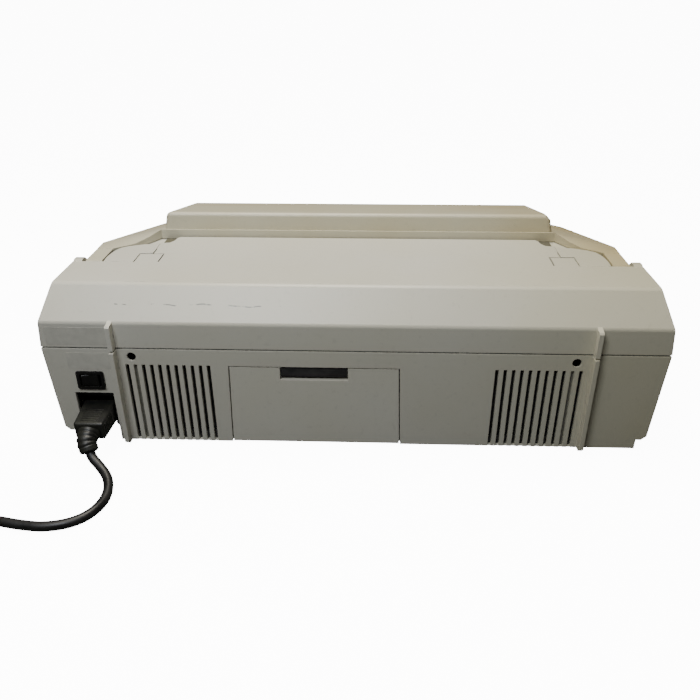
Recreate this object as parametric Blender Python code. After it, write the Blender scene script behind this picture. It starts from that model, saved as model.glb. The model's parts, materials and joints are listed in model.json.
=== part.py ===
"""Desktop inkjet printer with a hinged access cover, a rear jam door and a mains lead.

Metres, +Z up, standing on z = 0. The rear faces +Y and the paper trays face -Y.
Sizes below are in millimetres. "Depth" counts forward from the rear face.
"""
import math

import bmesh
import bpy
from mathutils import Vector
from mathutils.geometry import interpolate_bezier

for old in list(bpy.data.objects):
    bpy.data.objects.remove(old, do_unlink=True)

MM = 0.001
GAP = 0.3                      # clearance between solids that touch
RUN = 0.8                      # running clearance round moving pieces

# Housing
WIDTH = 463.6                  # across the parting line, the widest place
BODY_DEPTH = 300.0             # rear face to front face
TRAY_OUT = 65.0                # paper tray in front of the front face
FOOT_H = 2.0
WALL = 3.0
FLOOR = 2.5
PART_H = 81.8                  # parting line above the underside, at the rear
BELT_H = 103.3                 # top of the vertical belt
DECK_H = 127.0                 # level top of the rear deck
HUMP_H = 146.6                 # highest line of the access cover
BELT_DRAFT = 2.0               # the belt narrows this much to its top, each side
SEAM = 1.3                     # open parting groove
FRONT_PART_H = 58.0            # parting line at the front face
FRONT_BELT_H = 74.0
SLOPE_FROM = 150.0             # depth at which the belt starts to fall
PART_FROM = 190.0
RIB_OUT = 7.5
RIB_T = 3.4
RIB_X = 176.7
HOOD_LEAN = 19.5               # forward lean of the rear slope
HOOD_END = 61.0                # front edge of the rear deck's side parts
HOOD_X = WIDTH / 2 - 9.6       # side of the deck's hood
DECK_T = 2.4
LID_SIDE = WIDTH / 2 - 18.8    # side of the access cover
LID_FRONT = BODY_DEPTH - 25.0
LID_SLOPE = 0.237
PIVOT_DEPTH = 70.0             # access cover's hinge axis
PIVOT_H = 118.0
KNUCKLE_R = 10.6
PIN_R = 2.5

# Rear details
DOOR_X = 28.4
DOOR_TOP_W = 126.6
DOOR_BOTTOM_W = 130.6
DOOR_H = 67.7
DOOR_T = 2.6
DOOR_GAP = 0.8                 # open joint round the door
LATCH_W = 51.0
LATCH_H = 10.4
SLOTS = 11
SLOT_W = 2.6
SLOT_FIRST = 107.4
SLOT_LAST = 168.8
SLOT_TOP = 68.7
SCREW_X = 164.6
SCREW_H = 75.6
SCREW_HOLE = 6.8
SOCKET_X0 = 183.5
SOCKET_X1 = 213.0
SOCKET_TOP = 43.4
SOCKET_BOTTOM = 13.0
SOCKET_IN = 8.0
SWITCH_X = 198.6
SWITCH_H = 55.0
SWITCH_W = 21.3
SWITCH_T = 15.5

# Paper path and carriage
PATH_X = 28.4                  # centre of the sheet
SHEET_W = 216.0
DRUM_R = 28.0
DRUM_DEPTH = 50.0
DRUM_H = 50.0
EXIT_R = 7.0
EXIT_H = 74.0
PLATE_T = 2.0
ROD_R = 5.0
ROD_DEPTH = 150.0
ROD_H = 104.0
CARRIAGE_X = -129.0            # parked over the service station
CARRIAGE_W = 56.0
PULLEY_R = 7.0
PULLEY_X = 178.0
PINION_R = 8.0
DRUM_GEAR_R = 22.0
REAR_IDLER_R = 20.0
FRONT_IDLER_R = 30.0
EXIT_GEAR_R = 5.2
GEAR_W = 7.0
GEAR_GAP = 0.5

# Mains lead
CORD_D = 7.2
COIL_MEAN_D = 76.0
COIL_COLUMNS = 3
COIL_LAYERS = 2

HALF = WIDTH / 2
REAR_Y = (BODY_DEPTH + TRAY_OUT + RIB_OUT) / 2 - RIB_OUT
ROUND = 32


def at(x, depth, height):
    """World point, in metres, from x, depth behind the rear face and height over the underside."""
    return Vector((x, REAR_Y - depth, height + FOOT_H)) * MM


def material(name, colour, rough=0.5, metal=0.0):
    found = bpy.data.materials.get(name)
    if found:
        return found
    mat = bpy.data.materials.new(name)
    mat.use_nodes = True
    shader = mat.node_tree.nodes["Principled BSDF"]
    value = [int(colour[i:i + 2], 16) / 255 for i in (0, 2, 4)]
    linear = [c / 12.92 if c <= 0.04045 else ((c + 0.055) / 1.055) ** 2.4 for c in value]
    shader.inputs["Base Color"].default_value = (*linear, 1)
    shader.inputs["Roughness"].default_value = rough
    shader.inputs["Metallic"].default_value = metal
    mat.diffuse_color = (*linear, 1)
    return mat


PUTTY = ("putty_abs", "C6C3B6", 0.5)
AGED = ("aged_cover_abs", "BDB69F", 0.5)
BLACK = ("black_plastic", "151515", 0.45)
CHARCOAL = ("charcoal_plastic", "2A2A29", 0.5)
RUBBER = ("black_rubber", "1B1B1B", 0.8)
STEEL = ("zinc_steel", "A9ACAD", 0.35, 1.0)
GEAR = ("white_acetal", "E4E2DA", 0.4)
BOARD = ("green_board", "2F5A3A", 0.5)
LENS = ("green_lens", "4F9A4A", 0.2)


def new_object(name, mesh, look):
    obj = bpy.data.objects.new(name, mesh)
    mesh.materials.append(material(*look))
    bpy.context.scene.collection.objects.link(obj)
    return obj


def solid(name, points, faces, look):
    """A closed mesh of world points, with its faces turned outwards."""
    mesh = bpy.data.meshes.new(name)
    mesh.from_pydata([tuple(p) for p in points], [], faces)
    shape = bmesh.new()
    shape.from_mesh(mesh)
    bmesh.ops.recalc_face_normals(shape, faces=shape.faces)
    shape.to_mesh(mesh)
    shape.free()
    return new_object(name, mesh, look)


def lofted(name, rings, look):
    """Joins rings of world points, each with as many points, and closes both ends."""
    count = len(rings[0])
    points = [p for ring in rings for p in ring]
    faces = [list(range(count))[::-1], list(range((len(rings) - 1) * count, len(rings) * count))]
    for r in range(len(rings) - 1):
        for i in range(count):
            j = (i + 1) % count
            faces.append([r * count + i, r * count + j, (r + 1) * count + j, (r + 1) * count + i])
    return solid(name, points, faces, look)


def side_prism(name, outline, x0, x1, look):
    """Extrudes an outline of (depth, height) along X."""
    return lofted(name, [[at(x, d, h) for d, h in outline] for x in (x0, x1)], look)


def plan_prism(name, outline, h0, h1, look):
    """Extrudes an outline of (x, depth) upwards."""
    return lofted(name, [[at(x, d, h) for x, d in outline] for h in (h0, h1)], look)


def rear_prism(name, outline, d0, d1, look):
    """Extrudes an outline of (x, height) forwards."""
    return lofted(name, [[at(x, d, h) for x, h in outline] for d in (d0, d1)], look)


def block(name, x0, x1, d0, d1, h0, h1, look):
    return plan_prism(name, [(x0, d0), (x1, d0), (x1, d1), (x0, d1)], h0, h1, look)


def turned(name, profile, axis, centre, look, sides=ROUND):
    """Turns (along, radius) points about an axis through centre, a world point in metres."""
    axis = Vector(axis)
    side = Vector((0, 0, 1)) if abs(axis.z) < 0.5 else Vector((1, 0, 0))
    other = axis.cross(side)
    rings = []
    for along, radius in profile:
        ring = []
        for i in range(sides):
            turn = 2 * math.pi * i / sides
            out = side * math.cos(turn) + other * math.sin(turn)
            ring.append(centre + (axis * along + out * radius) * MM)
        rings.append(ring)
    obj = lofted(name, rings, look)
    obj.data.shade_smooth()
    obj.data.set_sharp_from_angle(angle=math.radians(35))
    return obj


def rod(name, x0, x1, radius, depth, height, look, sides=ROUND):
    return turned(name, [(x0, radius), (x1, radius)], (1, 0, 0), at(0, depth, height), look, sides)


def modify(target, tool, operation):
    step = target.modifiers.new(operation.lower(), "BOOLEAN")
    step.operation = operation
    step.object = tool
    step.solver = "EXACT"
    tool.hide_render = True
    tool.display_type = "WIRE"
    tool.hide_viewport = False


def cut(target, *tools):
    for tool in tools:
        modify(target, tool, "DIFFERENCE")


def add(target, *tools):
    for tool in tools:
        modify(target, tool, "UNION")


def pivot(obj, point):
    """Puts the object's origin on its joint axis and leaves the shape where it is."""
    for vertex in obj.data.vertices:
        vertex.co -= point
    obj.location = point


def mirrored(outline):
    """Completes a plan outline, given for x >= 0 from rear to front, with its other half."""
    return outline + [(-x, d) for x, d in reversed(outline)]


# ---------------------------------------------------------------- housing

def belt_height(depth):
    """Top of the belt: level at the rear, falling to the front face."""
    if depth <= SLOPE_FROM:
        return BELT_H
    share = (depth - SLOPE_FROM) / (BODY_DEPTH - SLOPE_FROM)
    return BELT_H + (FRONT_BELT_H - BELT_H) * share


def case_section(inset, low, high):
    """Cross-section of the lower case: a leaning side over a stepped-in plinth."""
    side = [(HALF - 12.2 - inset, low), (HALF - 12.2 - inset, 8 + inset), (HALF - 8.3 - inset, 8 + inset),
            (HALF - 4.5 - inset, 11.5 + inset), (HALF - inset, high)]
    return [(x, h) for x, h in side] + [(-x, h) for x, h in reversed(side)]


def tray_opening():
    return PATH_X - SHEET_W / 2 - 12, PATH_X + SHEET_W / 2 + 12


def build_bottom_case():
    case = rear_prism("bottom_case", case_section(0, 0, PART_H), 0, BODY_DEPTH, PUTTY)
    inside = case_section(WALL, FLOOR, PART_H + 1)
    cut(case, rear_prism("cut_case_inside", inside, WALL, BODY_DEPTH - WALL, PUTTY))
    front = [(PART_FROM, PART_H), (PART_FROM, PART_H + 9), (BODY_DEPTH + 9, PART_H + 9),
             (BODY_DEPTH + 9, FRONT_PART_H), (BODY_DEPTH, FRONT_PART_H)]
    cut(case, side_prism("cut_case_front", front, -HALF - 9, HALF + 9, PUTTY))
    bottom, top, edge = DOOR_BOTTOM_W / 2 + DOOR_GAP, DOOR_TOP_W / 2 + DOOR_GAP, DOOR_H + DOOR_GAP
    door = [(DOOR_X - bottom, -1), (DOOR_X + bottom, -1), (DOOR_X + top, edge), (DOOR_X - top, edge)]
    cut(case, rear_prism("cut_door", door, -1, WALL + 1, PUTTY))
    cut(case, block("cut_socket_bay", SOCKET_X0, SOCKET_X1, -1, 30, -1, SOCKET_TOP, PUTTY))
    half_w, half_t = SWITCH_W / 2 - 1, SWITCH_T / 2 - 1
    cut(case, block("cut_switch", SWITCH_X - half_w, SWITCH_X + half_w, -1, WALL + 1,
                    SWITCH_H - half_t, SWITCH_H + half_t, PUTTY))
    pitch = (SLOT_LAST - SLOT_FIRST) / (SLOTS - 1)
    for side in (-1, 1):
        for i in range(SLOTS):
            x = side * (SLOT_FIRST + pitch * i)
            cut(case, block(f"cut_slot_{side}_{i}", x - SLOT_W / 2, x + SLOT_W / 2, -1, WALL + 2, -1,
                            SLOT_TOP, PUTTY))
        hole = [(-WALL - 1, SCREW_HOLE / 2), (1, SCREW_HOLE / 2)]
        place = at(side * SCREW_X, 0, SCREW_H)
        cut(case, turned(f"cut_screw_{side}", hole, (0, 1, 0), place, PUTTY, 16))
    x0, x1 = tray_opening()
    cut(case, block("cut_tray_mouth", x0, x1, BODY_DEPTH - WALL - 1, BODY_DEPTH + 1, FLOOR, 50, PUTTY))
    cut(case, block("cut_port", -HALF - 1, -HALF + 14, 52, 104, 20, 36, PUTTY))
    for side in (-1, 1):
        tip = [(0.5, 0), (-RIB_OUT * 0.6, 0), (-RIB_OUT, 3), (-RIB_OUT, PART_H), (0.5, PART_H)]
        x = side * RIB_X
        add(case, side_prism(f"rib_low_{side}", tip, x - RIB_T / 2, x + RIB_T / 2, PUTTY))


def deck_outline():
    """Plan of the level deck: rear edge under the hood, snap tabs, rounded front corners."""
    return mirrored([(173.4, 40), (173.4, 78.2), (155.0, 78.2), (155.0, 61.5), (153.9, 61.5),
                     (153.9, 79.3), (162.8, 79.3), (162.8, 90.0), (163.6, 90.0), (163.6, 103.6),
                     (156.5, 105.1), (153.6, 110.3), (152.8, 116), (150.6, 119.2)])


def hood_shape(name, inset, front):
    """Rear hood over the belt; inset shrinks it to make its hollow."""
    low = BELT_H - (6 if inset else 0.5)
    top = DECK_H - (DECK_T if inset else 0)
    rings = []
    belt_half = HALF - BELT_DRAFT
    for half, rear, height in ((belt_half, 0, low), (belt_half, 0, BELT_H), (HOOD_X, HOOD_LEAN, top)):
        x, near = half - inset, rear + inset * (0.7 if rear else 1)
        rings.append([at(x, near, height), at(x, front - inset, height), at(-x, front - inset, height),
                      at(-x, near, height)])
    return lofted(name, rings, PUTTY)


def build_top_case():
    low = PART_H + SEAM
    outline = [(0, low), (0, BELT_H), (SLOPE_FROM, BELT_H), (BODY_DEPTH, FRONT_BELT_H),
               (BODY_DEPTH, FRONT_PART_H + SEAM), (PART_FROM, low)]
    case = side_prism("top_case", outline, -HALF, HALF, PUTTY)
    hollow = [(WALL, low - 30), (WALL, BELT_H - WALL), (SLOPE_FROM, BELT_H - WALL),
              (BODY_DEPTH - WALL, belt_height(BODY_DEPTH - WALL) - WALL), (BODY_DEPTH - WALL, low - 30)]
    cut(case, side_prism("cut_top_hollow", hollow, -HALF + WALL, HALF - WALL, PUTTY))
    add(case, hood_shape("hood_shell", 0, HOOD_END))
    cut(case, hood_shape("cut_hood", WALL, HOOD_END))
    for side in (-1, 1):
        draft = [(side * (HALF - BELT_DRAFT), BELT_H), (side * (HALF + 1), BELT_H + 1),
                 (side * (HALF + 1), PART_H), (side * HALF, PART_H)]
        cut(case, rear_prism(f"cut_draft_{side}", draft, -1, BODY_DEPTH + 1, PUTTY))
    mouth = HOOD_X - 6
    under = DECK_H - DECK_T
    cut(case, block("cut_hood_mouth", -mouth, mouth, HOOD_END - 12, HOOD_END + 1, BELT_H, under, PUTTY))
    opening = HALF - 24
    front = BODY_DEPTH - 30
    cut(case, block("cut_access", -opening, opening, 60, front, FRONT_PART_H, BELT_H + 1, PUTTY))
    cut(case, block("cut_deck_seat", -175.0, 175.0, 39, HOOD_END + 1, under - 1, DECK_H + 1, PUTTY))
    add(case, plan_prism("deck", deck_outline(), DECK_H - DECK_T, DECK_H, PUTTY))
    join = [(175.0, 38.5), (175.0, 60.6), (173.0, 60.6), (173.0, 41), (-173.0, 41), (-173.0, 60.6),
            (-175.0, 60.6), (-175.0, 38.5)]
    add(case, plan_prism("deck_join", join, DECK_H - DECK_T, DECK_H, PUTTY))
    tray = mirrored([(198.5, 92), (198.5, 101), (190, 108), (180, 117), (172, 127)])
    recess = DECK_H - DECK_T - GAP
    add(case, plan_prism("recess_floor", tray, recess - DECK_T, recess, PUTTY))
    add(case, block("recess_step", -140, 140, 98, 112, recess - 1, DECK_H - DECK_T + 0.5, PUTTY))
    for side in (-1, 1):
        x = side * RIB_X
        rib = [(0.5, low), (-RIB_OUT + 1, low), (-RIB_OUT + 1, BELT_H - 1.2), (-RIB_OUT + 2, BELT_H),
               (0.5, BELT_H)]
        add(case, side_prism(f"rib_high_{side}", rib, x - RIB_T / 2, x + RIB_T / 2, PUTTY))
        ear = [(HOOD_END - 1, BELT_H - 0.5), (PIVOT_DEPTH + 9, BELT_H - 0.5),
               (PIVOT_DEPTH + 4, DECK_H - 4),
               (HOOD_END + 7, DECK_H + 0.9), (HOOD_END + 2, DECK_H + 1.2), (HOOD_END - 1, DECK_H - 0.4)]
        near, far = side * (LID_SIDE + 2), side * (HOOD_X - 0.3)
        add(case, side_prism(f"hinge_ear_{side}", ear, near, far, PUTTY))


def cover_slope(x, depth):
    """Top of the access cover's shoulders at a plan point, in front of the rear edge."""
    inner = 132.8 - LID_SLOPE * max(0.0, depth - 121)
    outer = DECK_H - LID_SLOPE * max(0.0, depth - 104)
    share = min(1.0, max(0.0, (abs(x) - 167.5) / (LID_SIDE - 167.5)))
    return inner + (outer - inner) * share


def cover_rim(inset):
    """Plan outline of the cover's shoulders, x >= 0, with the height of each point."""
    rear = [(167.5, 121.0, 132.8), (175.5, 107.5, 130.4), (184.0, 98.5, 128.2), (191.0, 95.5, 127.4),
            (199.8, 90.0, DECK_H), (LID_SIDE, 90.0, DECK_H)]
    if inset:
        rear = [(168.5, 124.2, 132.8), (178.0, 110.5, 130.4), (186.0, 101.8, 128.2), (193.0, 99.0, 127.4),
                (199.8, 99.0, DECK_H), (LID_SIDE - inset, 99.0, DECK_H)]
    side = [(LID_SIDE - inset, max(104.0, 99.0 + inset)), (LID_SIDE - inset, SLOPE_FROM),
            (LID_SIDE - inset, LID_FRONT - inset), (167.5, LID_FRONT - inset)]
    return rear + [(x, d, cover_slope(x, d)) for x, d in side]


def cover_slab(name, inset):
    """Shoulders of the cover, down to just over the belt."""
    half = cover_rim(inset)
    drop = inset
    points, faces = [], []
    for sign in (1, -1):
        points += [at(sign * x, d, h - drop) for x, d, h in half]
        points += [at(sign * x, d, belt_height(d) + 0.6 - (8 if inset else 0)) for x, d, _ in half]
    n = len(half)
    hub = 6
    for base in (0, 2 * n):
        for i in range(hub):
            if i + 1 < hub:
                faces.append([base + hub, base + i, base + i + 1])
        faces.append([base + hub, base + n - 1, base])
        faces.append([base + hub, base + hub + 1, base + n - 1])
        faces.append([base + hub + 1, base + hub + 2, base + n - 1])
        for i in range(n - 1):
            faces.append([base + i, base + i + 1, base + n + i + 1, base + n + i])
    faces.append([0, n - 1, 3 * n - 1, 2 * n])
    faces.append([0, 2 * n, 3 * n, n])
    faces.append([n - 1, 2 * n - 1, 4 * n - 1, 3 * n - 1])
    rear_low = [n + i for i in range(hub + 2)]
    faces.append(rear_low + [3 * n + i for i in reversed(range(hub + 2))])
    front_low = [n + hub + 1, n + hub + 2, 2 * n - 1, 4 * n - 1, 3 * n + hub + 2, 3 * n + hub + 1]
    faces.append(front_low)
    obj = solid(name, points, faces, AGED)
    shape = bmesh.new()
    shape.from_mesh(obj.data)
    bmesh.ops.triangulate(shape, faces=shape.faces)
    bmesh.ops.recalc_face_normals(shape, faces=shape.faces)
    shape.to_mesh(obj.data)
    shape.free()
    return obj


def cover_hump(name, inset):
    """Raised middle of the cover that clears the carriage."""
    w0, w1 = 167.0 - inset, 163.4 - inset
    top = inset
    profile = [(126.2 + inset, 132.8 - LID_SLOPE * 3.5 - 4 - top, w0), (126.9 + inset, HUMP_H - top, w1),
               (220.0 - inset, 126.5 - top, w1), (258.0 - inset, 132.8 - LID_SLOPE * 137 - 4 - top, w0)]
    return lofted(name, [[at(sign * w, d, h) for d, h, w in profile] for sign in (1, -1)], AGED)


def build_access_cover():
    cover = cover_slab("access_cover", 0)
    add(cover, cover_hump("cover_hump", 0))
    cut(cover, cover_slab("cut_cover_slab", WALL))
    cut(cover, cover_hump("cut_cover_hump", WALL))
    cut(cover, block("cut_cover_rear", -199.6, 199.6, 80, 126, 90, DECK_H - DECK_T + 0.5, AGED))
    rise = DECK_H - PIVOT_H
    start = math.asin(rise / KNUCKLE_R)
    steps = 10
    arc = []
    for i in range(steps + 1):
        turn = start - (start + math.pi / 2) * i / steps
        arc.append((PIVOT_DEPTH - KNUCKLE_R * math.cos(turn), PIVOT_H + KNUCKLE_R * math.sin(turn)))
    outline = arc + [(101, PIVOT_H - KNUCKLE_R), (101, DECK_H - 0.2)]
    for side in (-1, 1):
        add(cover, side_prism(f"arm_{side}", outline, side * 199.8, side * (LID_SIDE - 0.1), AGED))
        bore = rod(f"cut_bore_{side}", side * 199, side * 214, PIN_R + GAP, PIVOT_DEPTH, PIVOT_H, AGED, 16)
        cut(cover, bore)
        rod(f"cover_pin_{'left' if side > 0 else 'right'}", side * 200.3, side * (LID_SIDE + 2 - GAP), PIN_R,
            PIVOT_DEPTH, PIVOT_H, STEEL, 16)
    pivot(cover, at(0, PIVOT_DEPTH, PIVOT_H))


def build_hinge_covers():
    outline = [(174.4, 61.5), (198.0, 61.5), (198.6, 70), (198.0, 78), (196.8, 85), (194.0, 91.5),
               (188.2, 96.0), (177.5, 100.2), (164.0, 103.2), (164.0, 80.4), (174.4, 80.4)]
    for side, label in ((1, "left"), (-1, "right")):
        plan_prism(f"hinge_cover_{label}", [(side * x, d) for x, d in outline], DECK_H - DECK_T, DECK_H, PUTTY)


def build_rear_door():
    """Trapezoid door with a pocket for its latch, hinged along its lower edge."""
    outline = [(DOOR_X - DOOR_BOTTOM_W / 2, 0.6), (DOOR_X + DOOR_BOTTOM_W / 2, 0.6),
               (DOOR_X + DOOR_TOP_W / 2, DOOR_H), (DOOR_X - DOOR_TOP_W / 2, DOOR_H)]
    door = rear_prism("rear_door", outline, 0.2, 0.2 + DOOR_T, PUTTY)
    half = LATCH_W / 2
    left, right, sill = DOOR_X - half, DOOR_X + half, DOOR_H - LATCH_H
    cut(door, block("cut_latch_pocket", left, right, -1, WALL + 1, sill, DOOR_H + 1, PUTTY))
    add(door, block("latch_pocket_back", left - 2, right + 2, DOOR_T - 0.2, 11, sill - 3, DOOR_H - 1.2, PUTTY))
    cut(door, block("cut_latch_well", left, right, -1, 9.4, sill, DOOR_H + 1, PUTTY))
    for i in range(4):
        x = DOOR_X - 45 + 30 * i
        guide = [(DOOR_T - 0.2, 14), (14, 24), (17, 40), (14, 54), (DOOR_T - 0.2, 56)]
        add(door, side_prism(f"door_guide_{i}", guide, x - 1, x + 1, PUTTY))
    pivot(door, at(DOOR_X, 1.5, 1.9))
    latch = block("door_latch", left + 0.5, right - 0.5, 1.4, 3.4, sill + 2.4, DOOR_H - 0.6, CHARCOAL)
    add(latch, block("latch_foot", left + 6, right - 6, 3.2, 8.6, sill + 2.4, sill + 4.4, CHARCOAL))
    pivot(latch, at(DOOR_X, 2.4, DOOR_H - 4))


def build_rear_hardware():
    for side, label in ((1, "left"), (-1, "right")):
        screw = turned(f"rear_screw_{label}", [(0, 1.5), (8, 1.5), (8, 2.9), (10, 2.9)], (0, 1, 0),
                       at(side * SCREW_X, 11, SCREW_H), STEEL, 16)
        cross = block(f"cut_cross_a_{label}", side * SCREW_X - 0.4, side * SCREW_X + 0.4, 0.5, 1.9, SCREW_H - 2,
                      SCREW_H + 2, STEEL)
        cut(screw, cross)
    for i, (x, depth) in enumerate(((190, 28), (-190, 28), (190, 270), (-190, 270))):
        foot = [(-FOOT_H, 6.5), (-FOOT_H + 0.5, 7), (-GAP, 7)]
        turned(f"foot_{i + 1}", foot, (0, 0, 1), at(x, depth, 0), RUBBER, 20)
    socket = block("inlet_socket", SOCKET_X0 + GAP, SOCKET_X1 - GAP, SOCKET_IN, 29.5, SOCKET_BOTTOM,
                   SOCKET_TOP - GAP, BLACK)
    cut(socket, block("cut_socket_face", 184.8, 211.4, SOCKET_IN - 1, 22, 18.8, 35.0, BLACK))
    bezel = block("switch_bezel", SWITCH_X - SWITCH_W / 2, SWITCH_X + SWITCH_W / 2, -1.4, -GAP,
                  SWITCH_H - SWITCH_T / 2, SWITCH_H + SWITCH_T / 2, BLACK)
    half_w, half_t = SWITCH_W / 2 - 1.4, SWITCH_T / 2 - 1.4
    add(bezel, block("switch_body", SWITCH_X - half_w, SWITCH_X + half_w, -0.8, 20, SWITCH_H - half_t,
                     SWITCH_H + half_t, BLACK))
    cut(bezel, block("cut_switch_mouth", SWITCH_X - half_w + 1.2, SWITCH_X + half_w - 1.2, -3, 15,
                     SWITCH_H - half_t + 1.2, SWITCH_H + half_t - 1.2, BLACK))
    rocker_half = half_w - 2.6
    plan = [(SWITCH_X - rocker_half, -2.2), (SWITCH_X, -0.6), (SWITCH_X + rocker_half, -2.2),
            (SWITCH_X + rocker_half, 3.0), (SWITCH_X + 3.5, 8.0), (SWITCH_X - 3.5, 8.0),
            (SWITCH_X - rocker_half, 3.0)]
    rocker = plan_prism("power_rocker", plan, SWITCH_H - half_t + 1.8, SWITCH_H + half_t - 1.8, BLACK)
    pivot(rocker, at(SWITCH_X, 4.0, SWITCH_H))
    port = block("data_port", -HALF + 5.4, -HALF + 22, 53, 103, 21, 35, CHARCOAL)
    cut(port, block("cut_port_mouth", -HALF + 4, -HALF + 15, 57, 99, 24, 32, CHARCOAL))


# ---------------------------------------------------------------- electronics and paper path

def plates():
    """Inner faces of the two side plates of the paper path."""
    return PATH_X - SHEET_W / 2 - 8, PATH_X + SHEET_W / 2 + 8


def gear_train():
    """Depth and height of each gear centre, worked out from the pitch radii."""
    rear_idler = (DRUM_DEPTH + DRUM_GEAR_R + REAR_IDLER_R, DRUM_H)
    pinion = (rear_idler[0] + REAR_IDLER_R + PINION_R, DRUM_H)
    rise = 4.0
    reach = PINION_R + FRONT_IDLER_R
    front_idler = (pinion[0] + math.sqrt(reach ** 2 - rise ** 2), DRUM_H + rise)
    reach = FRONT_IDLER_R + EXIT_GEAR_R
    rise = EXIT_H - front_idler[1]
    exit_gear = (front_idler[0] + math.sqrt(reach ** 2 - rise ** 2), EXIT_H)
    return {"drum": (DRUM_DEPTH, DRUM_H), "rear_idler": rear_idler, "pinion": pinion,
            "front_idler": front_idler, "exit": exit_gear}


def gear(name, centre, radius, x0, look=GEAR, bore=2.3):
    """A web gear blank: rim, thin web and hub, turned about X, with an open bore."""
    r = radius - GEAR_GAP / 2
    if radius > 12:
        profile = [(0, bore), (0, bore + 2.5), (2.2, bore + 2.5), (2.2, r - 3), (0, r - 3), (0, r), (GEAR_W, r),
                   (GEAR_W, r - 3), (GEAR_W - 2.2, r - 3), (GEAR_W - 2.2, bore + 2.5), (GEAR_W, bore + 2.5),
                   (GEAR_W, bore)]
    else:
        profile = [(0, bore), (0, r), (GEAR_W, r), (GEAR_W, bore)]
    sides = 40 if radius > 12 else 20
    rings = []
    for along, rr in profile:
        rings.append([at(x0 + along, centre[0] + rr * math.cos(2 * math.pi * i / sides),
                         centre[1] + rr * math.sin(2 * math.pi * i / sides)) for i in range(sides)])
    points = [p for ring in rings for p in ring]
    faces = []
    for k in range(len(rings)):
        m = (k + 1) % len(rings)
        for i in range(sides):
            j = (i + 1) % sides
            faces.append([k * sides + i, k * sides + j, m * sides + j, m * sides + i])
    obj = solid(name, points, faces, look)
    pivot(obj, at(0, *centre))
    return obj


def build_paper_path():
    left, right = plates()
    train = gear_train()
    exit_depth = train["exit"][0]
    outline = [(24, 4), (240, 4), (240, 40), (exit_depth + 14, 60), (exit_depth + 14, 82), (178, 84), (118, 84),
               (84, 84), (24, 84)]
    for name, x in (("side_plate_right", left - PLATE_T), ("side_plate_left", right)):
        plate = side_prism(name, outline, x, x + PLATE_T, STEEL)
        for key, radius in (("drum", 4.4), ("exit", 3.4)):
            cut(plate, rod(f"cut_{name}_{key}", x - 1, x + PLATE_T + 1, radius, *train[key], STEEL, 16))
        cut(plate, rod(f"cut_{name}_pinch", x - 1, x + PLATE_T + 1, 2.8, DRUM_DEPTH + 12, pinch_height(), STEEL, 16))
        if x < 0:
            cut(plate, rod("cut_plate_motor", x - 1, x + PLATE_T + 1, 3.4, *train["pinion"], STEEL, 16))
    gear_x = left - PLATE_T - 0.6 - GEAR_W
    drum = turned("feed_drum", [(gear_x - 1, 4), (left + 3, 4), (left + 3, DRUM_R), (right - 3, DRUM_R),
                                (right - 3, 4), (right + PLATE_T + 3, 4)], (1, 0, 0),
                  at(0, *train["drum"]), RUBBER, 40)
    pivot(drum, at(0, *train["drum"]))
    gear("drum_gear", train["drum"], DRUM_GEAR_R, gear_x, bore=4 + GAP)
    exit_roller = turned("exit_roller", [(gear_x - 1, 2), (gear_x + GEAR_W + 0.3, 2), (gear_x + GEAR_W + 0.3, 3),
                                         (left + 3, 3), (left + 3, EXIT_R), (right - 3, EXIT_R), (right - 3, 3),
                                         (right + PLATE_T + 3, 3)], (1, 0, 0), at(0, *train["exit"]), RUBBER, 20)
    pivot(exit_roller, at(0, *train["exit"]))
    gear("exit_gear", train["exit"], EXIT_GEAR_R, gear_x)
    gear("rear_idler_gear", train["rear_idler"], REAR_IDLER_R, gear_x, bore=2.5)
    gear("front_idler_gear", train["front_idler"], FRONT_IDLER_R, gear_x, bore=2.5)
    gear("feed_pinion", train["pinion"], PINION_R, gear_x, bore=1.8)
    for key in ("rear_idler", "front_idler"):
        turned(f"{key}_stud", [(gear_x - 2, 2.1), (left - PLATE_T - GAP, 2.1)], (1, 0, 0), at(0, *train[key]),
               STEEL, 16)
    motor = turned("feed_motor", [(gear_x - 0.5, 1.5), (left + 0.4, 1.5), (left + 0.4, 17), (left + 26, 17)],
                   (1, 0, 0), at(0, *train["pinion"]), STEEL, 24)
    motor.data.shade_flat()
    pinch = turned("pinch_roller", [(left - PLATE_T - 1, 2.4), (left + 6, 2.4), (left + 6, 4.2), (right - 6, 4.2),
                                    (right - 6, 2.4), (right + PLATE_T + 1, 2.4)], (1, 0, 0),
                   at(0, DRUM_DEPTH + 12, pinch_height()), RUBBER, 16)
    pivot(pinch, at(0, DRUM_DEPTH + 12, pinch_height()))
    block("platen", left + 3, right - 3, 132, exit_depth - EXIT_R - 2, 78.5, 82, CHARCOAL)
    guide = [(exit_depth + 9, 62), (exit_depth + 9, 65), (293, 42), (293, 38.6)]
    side_prism("exit_guide", guide, left + 3, right - 3, CHARCOAL)


def pinch_height():
    reach = DRUM_R + 4.2 + GAP
    return DRUM_H + math.sqrt(reach ** 2 - 12 ** 2)


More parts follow.
